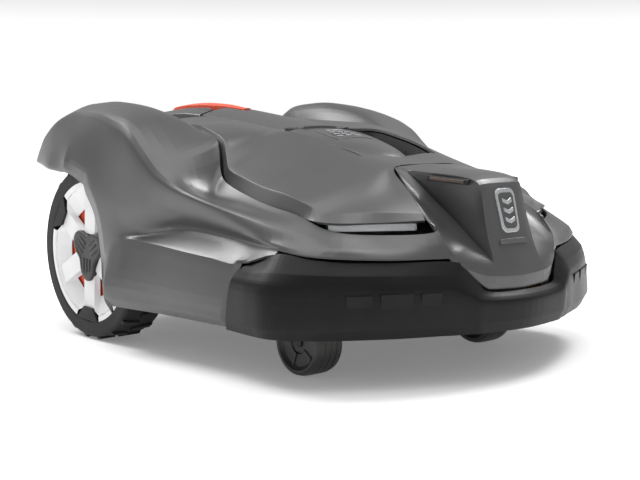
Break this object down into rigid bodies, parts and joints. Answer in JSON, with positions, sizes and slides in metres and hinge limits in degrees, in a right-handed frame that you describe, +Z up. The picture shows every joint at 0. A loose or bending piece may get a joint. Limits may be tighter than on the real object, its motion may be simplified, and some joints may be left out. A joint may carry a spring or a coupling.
{
  "type": "robotic lawn mower",
  "caption": "Battery robotic lawn mower with a floating grey cover on a chassis, large driven rear wheels, front swivel casters and a height-adjusted blade disc.",
  "frame": {"origin": "bottom centre of the whole mower, on the ground midway between its sides and between bumper and fender tips", "axes": "+Z up, -Y forward (bumper), +Y rear (drive wheels), +X the mower's left side"},
  "size_m": [0.56, 0.72, 0.311],
  "materials": {
    "body_paint": "satin metallic grey paint on moulded plastic",
    "hood_paint": "satin metallic grey paint on moulded plastic",
    "bumper_rubber": "fine moulded texture, matt",
    "black_plastic": "fine texture",
    "trim_black": "satin black",
    "orange_plastic": "satin orange-red",
    "badge_silver": "brushed silver",
    "lens_clear": "clear moulded lens",
    "sensor_lens": "smoked",
    "tyre_rubber": "matt black rubber",
    "rim_white": "silver-white paint",
    "caster_rubber": "matt",
    "steel": "plain",
    "blade_steel": "ground",
    "copper_contact": "brushed",
    "pcb_green": "solder resist",
    "battery_case": "matt",
    "motor_case": "cast",
    "display_black": "gloss",
    "key_green": "matt",
    "key_grey": "matt"
  },
  "bodies": {
    "chassis": {"chassis_base": "black_plastic", "chassis_top": "black_plastic", "battery_pack": "battery_case", "main_board": "pcb_green", "gearmotor_left": "motor_case", "gearmotor_right": "motor_case", "guide_rods": "steel", "height_motor": "motor_case", "charge_contacts": "copper_contact", "carry_handle": "black_plastic", "cover_mounts": "caster_rubber", "keypad_panel": "black_plastic", "display_glass": "display_black", "chassis_screws": "steel"},
    "cover": {"body_shell": "body_paint", "hood": "hood_paint", "bumper": "bumper_rubber", "nose_badge": "badge_silver", "headlight_left": "trim_black", "headlight_right": "trim_black", "lens_left": "lens_clear", "lens_right": "lens_clear", "sonar_left": "sensor_lens", "sonar_right": "sensor_lens", "channel_trim": "trim_black", "spine_front": "hood_paint", "spine_rear": "hood_paint", "stop_recess": "black_plastic", "rear_deck": "black_plastic", "hatch_pin": "steel"},
    "hatch": {"display_hatch": "hood_paint"},
    "stop": {"stop_button": "orange_plastic"},
    "power_key": {"power_key": "orange_plastic"},
    "start_key": {"start_key": "key_green"},
    "menu_key": {"menu_key": "key_grey"},
    "wheel_left": {"tyre_left": "tyre_rubber", "rim_left": "rim_white", "rim_insert_left": "orange_plastic", "hub_cap_left": "trim_black", "axle_left": "steel"},
    "wheel_right": {"tyre_right": "tyre_rubber", "rim_right": "rim_white", "rim_insert_right": "orange_plastic", "hub_cap_right": "trim_black", "axle_right": "steel"},
    "caster_left": {"caster_fork_left": "black_plastic"},
    "caster_right": {"caster_fork_right": "black_plastic"},
    "caster_roller_left": {"caster_wheel_left": "caster_rubber"},
    "caster_roller_right": {"caster_wheel_right": "caster_rubber"},
    "cutter": {"cutter_motor": "motor_case"},
    "height_screw": {"height_screw": "steel"},
    "disc": {"blade_disc": "black_plastic", "blade_screws": "steel"},
    "skid": {"skid_plate": "black_plastic"},
    "blade_1": {"blade_1": "blade_steel"},
    "blade_2": {"blade_2": "blade_steel"},
    "blade_3": {"blade_3": "blade_steel"}
  },
  "joints": [
    {"name": "cover_float", "type": "slide", "parent": "chassis", "child": "cover", "axis": [0, 1, 0], "range_m": [-0.006, 0.008], "stiffness_N_per_m": 3000},
    {"name": "hatch_hinge", "type": "hinge", "parent": "cover", "child": "hatch", "pos_m": [0, 0.0042, 0.2735], "axis": [1, 0, 0], "range_deg": [0, 80]},
    {"name": "stop_press", "type": "slide", "parent": "cover", "child": "stop", "axis": [0, 0, -1], "range_m": [0, 0.005], "stiffness_N_per_m": 1500, "springref_m": -0.002},
    {"name": "power_press", "type": "slide", "parent": "chassis", "child": "power_key", "axis": [0, 0, -1], "range_m": [0, 0.0015], "stiffness_N_per_m": 500, "springref_m": -0.001},
    {"name": "start_press", "type": "slide", "parent": "chassis", "child": "start_key", "axis": [0, 0, -1], "range_m": [0, 0.0015], "stiffness_N_per_m": 500, "springref_m": -0.001},
    {"name": "menu_press", "type": "slide", "parent": "chassis", "child": "menu_key", "axis": [0, 0, -1], "range_m": [0, 0.0015], "stiffness_N_per_m": 500, "springref_m": -0.001},
    {"name": "wheel_spin_left", "type": "hinge", "parent": "chassis", "child": "wheel_left", "pos_m": [0.2, 0.17, 0.1145], "axis": [1, 0, 0], "continuous": true},
    {"name": "wheel_spin_right", "type": "hinge", "parent": "chassis", "child": "wheel_right", "pos_m": [-0.2, 0.17, 0.1145], "axis": [1, 0, 0], "continuous": true},
    {"name": "caster_swivel_left", "type": "hinge", "parent": "chassis", "child": "caster_left", "pos_m": [0.148, -0.207, 0.1], "axis": [0, 0, 1], "continuous": true},
    {"name": "caster_swivel_right", "type": "hinge", "parent": "chassis", "child": "caster_right", "pos_m": [-0.148, -0.207, 0.1], "axis": [0, 0, 1], "continuous": true},
    {"name": "caster_roll_left", "type": "hinge", "parent": "caster_left", "child": "caster_roller_left", "pos_m": [0.1215, -0.181, 0.038], "axis": [1, 0, 0], "continuous": true},
    {"name": "caster_roll_right", "type": "hinge", "parent": "caster_right", "child": "caster_roller_right", "pos_m": [-0.1745, -0.181, 0.038], "axis": [1, 0, 0], "continuous": true},
    {"name": "cutter_height", "type": "slide", "parent": "chassis", "child": "cutter", "axis": [0, 0, 1], "range_m": [-0.04, 0]},
    {"name": "height_screw_turn", "type": "hinge", "parent": "chassis", "child": "height_screw", "pos_m": [0, 0.068, 0.1], "axis": [0, 0, 1], "continuous": true},
    {"name": "disc_spin", "type": "hinge", "parent": "cutter", "child": "disc", "pos_m": [0, 0, 0.065], "axis": [0, 0, 1], "continuous": true},
    {"name": "skid_spin", "type": "hinge", "parent": "disc", "child": "skid", "pos_m": [0, 0, 0.055], "axis": [0, 0, 1], "continuous": true},
    {"name": "blade_swing_1", "type": "hinge", "parent": "disc", "child": "blade_1", "pos_m": [0.098, 0, 0.062], "axis": [0, 0, 1], "continuous": true},
    {"name": "blade_swing_2", "type": "hinge", "parent": "disc", "child": "blade_2", "pos_m": [-0.049, 0.08487, 0.062], "axis": [0, 0, 1], "continuous": true},
    {"name": "blade_swing_3", "type": "hinge", "parent": "disc", "child": "blade_3", "pos_m": [-0.049, -0.08487, 0.062], "axis": [0, 0, 1], "continuous": true}
  ],
  "couplings": [
    {"joint": "height_screw_turn", "follows": "cutter_height", "rad_per_m": 314.16}
  ]
}
